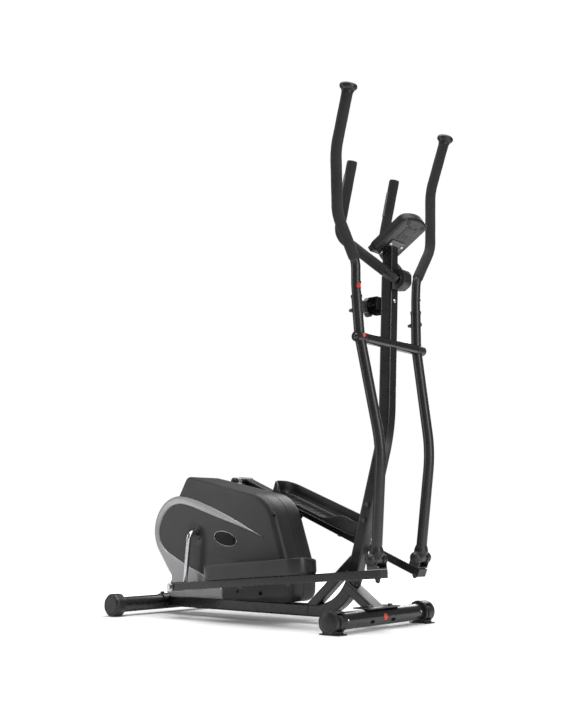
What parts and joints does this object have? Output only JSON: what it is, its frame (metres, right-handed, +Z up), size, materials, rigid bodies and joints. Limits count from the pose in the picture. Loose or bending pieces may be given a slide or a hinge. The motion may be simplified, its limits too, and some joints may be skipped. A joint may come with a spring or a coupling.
{
  "type": "elliptical trainer",
  "caption": "Rear-drive elliptical trainer with moving and fixed handlebars, pedal arms on a crank, console, and a belt-driven magnetic flywheel.",
  "frame": {"origin": "on the floor, under the middle of the machine's bounding box", "axes": "+X the way the user faces, +Y the user's left, +Z up"},
  "size_m": [1.1094, 0.5968, 1.5966],
  "materials": {
    "frame_paint": "gloss black powder coat",
    "arm_paint": "satin black powder coat",
    "foam": "closed-cell foam",
    "dark_plastic": "fine grain",
    "shell_plastic": "fine spark texture",
    "silver_plastic": "silver paint",
    "chrome": "bright chrome",
    "zinc": "zinc plated",
    "black_steel": "black oxide",
    "iron": "painted cast iron",
    "belt_rubber": "ribbed belt",
    "bush": "nylon",
    "screen": "smoked window",
    "button": "soft key",
    "wheel_plastic": "hard plastic wheel"
  },
  "bodies": {
    "frame": {"base_tube": "frame_paint", "riser_tube": "frame_paint", "frame_struts": "frame_paint", "front_stabilizer": "frame_paint", "rear_stabilizer": "frame_paint", "front_caps": "dark_plastic", "rear_caps": "dark_plastic", "upright_post": "frame_paint", "frame_bolts": "black_steel", "pivot_axle": "frame_paint", "bearing_bushes": "bush", "knob_base": "dark_plastic", "clamp_cover": "dark_plastic", "fixed_handlebar": "arm_paint", "fixed_grips": "foam", "pulse_plates": "chrome", "console_case": "dark_plastic", "console_face": "dark_plastic", "console_lens": "screen", "console_bracket": "frame_paint", "housing_right": "shell_plastic", "housing_left": "shell_plastic", "trim_right": "silver_plastic", "trim_left": "silver_plastic", "bottom_bracket": "frame_paint", "drive_belt": "belt_rubber"},
    "crank": {"crank_axle": "zinc", "crank_arm_right": "chrome", "crank_arm_left": "chrome", "drive_pulley": "dark_plastic"},
    "flywheel_body": {"flywheel": "iron"},
    "brake": {"magnet_bracket": "zinc"},
    "knob": {"tension_knob": "dark_plastic"},
    "button_mode": {"mode_button": "button"},
    "button_set": {"set_button": "button"},
    "button_reset": {"reset_button": "button"},
    "swing_arm_right": {"lower_arm_right": "arm_paint", "upper_bar_right": "arm_paint", "foam_grip_right": "foam", "grip_cap_right": "dark_plastic", "arm_bolts_right": "black_steel"},
    "pedal_right": {"pedal_arm_right": "frame_paint", "crank_pin_right": "chrome", "pedal_caps_right": "dark_plastic", "yoke_right": "black_steel", "pedal_bolts_right": "black_steel", "footplate_right": "dark_plastic"},
    "wheel_right": {"transport_wheel_right": "wheel_plastic"},
    "swing_arm_left": {"lower_arm_left": "arm_paint", "upper_bar_left": "arm_paint", "foam_grip_left": "foam", "grip_cap_left": "dark_plastic", "arm_bolts_left": "black_steel"},
    "pedal_left": {"pedal_arm_left": "frame_paint", "crank_pin_left": "chrome", "pedal_caps_left": "dark_plastic", "yoke_left": "black_steel", "pedal_bolts_left": "black_steel", "footplate_left": "dark_plastic"},
    "wheel_left": {"transport_wheel_left": "wheel_plastic"}
  },
  "joints": [
    {"name": "crank_spin", "type": "hinge", "parent": "frame", "child": "crank", "pos_m": [-0.3102, 0, 0.278], "axis": [0, 1, 0], "continuous": true},
    {"name": "flywheel_spin", "type": "hinge", "parent": "frame", "child": "flywheel_body", "pos_m": [-0.0652, 0, 0.195], "axis": [0, 1, 0], "continuous": true},
    {"name": "right_arm_swing", "type": "hinge", "parent": "frame", "child": "swing_arm_right", "pos_m": [0.4408, 0, 0.851], "axis": [0, -1, 0], "range_deg": [-12, 12]},
    {"name": "left_arm_swing", "type": "hinge", "parent": "frame", "child": "swing_arm_left", "pos_m": [0.4408, 0, 0.851], "axis": [0, -1, 0], "range_deg": [-12, 12]},
    {"name": "right_knuckle", "type": "hinge", "parent": "swing_arm_right", "child": "pedal_right", "pos_m": [0.45928, -0.117, 0.20547], "axis": [0, -1, 0], "range_deg": [-12, 12]},
    {"name": "left_knuckle", "type": "hinge", "parent": "swing_arm_left", "child": "pedal_left", "pos_m": [0.45928, 0.117, 0.20547], "axis": [0, -1, 0], "range_deg": [-12, 12]},
    {"name": "tension_turn", "type": "hinge", "parent": "frame", "child": "knob", "pos_m": [0.3698, 0, 0.977], "axis": [-1, 0, 0], "range_deg": [0, 280]},
    {"name": "brake_tilt", "type": "hinge", "parent": "frame", "child": "brake", "pos_m": [-0.1702, 0, 0.292], "axis": [0, 1, 0], "range_deg": [0, 3.5]},
    {"name": "right_wheel_spin", "type": "hinge", "parent": "frame", "child": "wheel_right", "pos_m": [0.4028, -0.228, 0.034], "axis": [0, 1, 0], "continuous": true},
    {"name": "left_wheel_spin", "type": "hinge", "parent": "frame", "child": "wheel_left", "pos_m": [0.4028, 0.228, 0.034], "axis": [0, 1, 0], "continuous": true},
    {"name": "mode_press", "type": "slide", "parent": "frame", "child": "button_mode", "axis": [0.5344, 0, -0.8453], "range_m": [0, 0.0016], "stiffness_N_per_m": 400},
    {"name": "set_press", "type": "slide", "parent": "frame", "child": "button_set", "axis": [0.5344, 0, -0.8453], "range_m": [0, 0.0016], "stiffness_N_per_m": 400},
    {"name": "reset_press", "type": "slide", "parent": "frame", "child": "button_reset", "axis": [0.5344, 0, -0.8453], "range_m": [0, 0.0016], "stiffness_N_per_m": 400}
  ],
  "couplings": [
    {"joint": "flywheel_spin", "follows": "crank_spin", "ratio": 4.525},
    {"joint": "left_arm_swing", "follows": "right_arm_swing", "ratio": -1},
    {"joint": "right_knuckle", "follows": "right_arm_swing", "ratio": -1},
    {"joint": "left_knuckle", "follows": "right_arm_swing", "ratio": 1},
    {"joint": "brake_tilt", "follows": "tension_turn", "ratio": 0.0125}
  ]
}
